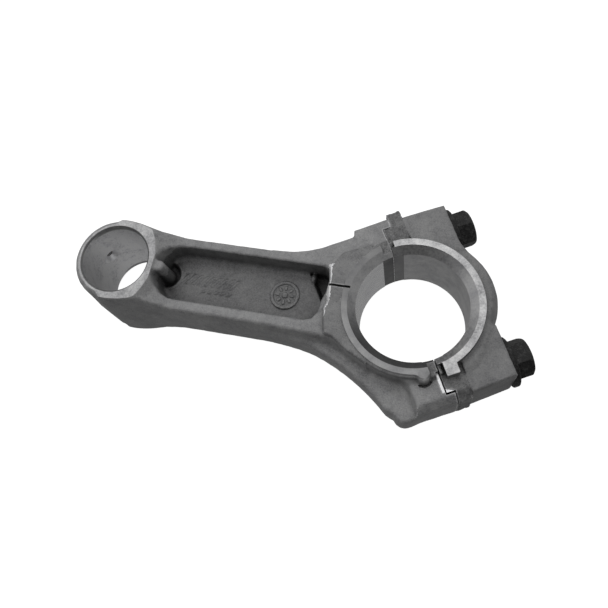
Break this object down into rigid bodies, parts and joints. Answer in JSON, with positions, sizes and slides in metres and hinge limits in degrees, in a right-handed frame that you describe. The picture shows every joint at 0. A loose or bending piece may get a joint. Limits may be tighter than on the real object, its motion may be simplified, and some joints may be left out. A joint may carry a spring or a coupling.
{
  "type": "connecting rod",
  "caption": "Die-cast engine connecting rod with an I-section beam, a plain small end and an angled split big end, its cap held by hexagon screws with flat washers.",
  "frame": {"origin": "centre of the crankpin bore, at the middle of its width", "axes": "+X from the small end to the big end, +Z along both bores, towards the face with the oil slot and the casting marks"},
  "size_m": [0.1379, 0.0668, 0.028],
  "materials": {
    "cast_aluminium": "as cast, satin grey, with brighter machined bores and thrust faces",
    "black_steel": "black oxide"
  },
  "bodies": {
    "rod": {"rod_body": "cast_aluminium"},
    "cap": {"rod_cap": "cast_aluminium", "upper_washer": "black_steel", "lower_washer": "black_steel"},
    "upper_screw": {"upper_screw": "black_steel"},
    "lower_screw": {"lower_screw": "black_steel"}
  },
  "joints": [
    {"name": "cap_lift", "type": "slide", "parent": "rod", "child": "cap", "axis": [0.8746, 0.4848, 0], "range_m": [0, 0.0104]},
    {"name": "upper_screw_turn", "type": "hinge", "parent": "cap", "child": "upper_screw", "pos_m": [0.00721, 0.02824, 0], "axis": [0.8746, 0.4848, 0], "range_deg": [0, 3750]},
    {"name": "lower_screw_turn", "type": "hinge", "parent": "cap", "child": "lower_screw", "pos_m": [0.02777, -0.00885, 0], "axis": [0.8746, 0.4848, 0], "range_deg": [0, 3750]}
  ],
  "couplings": [
    {"joint": "upper_screw_turn", "follows": "cap_lift", "rad_per_m": 6283.2},
    {"joint": "lower_screw_turn", "follows": "cap_lift", "rad_per_m": 6283.2}
  ]
}
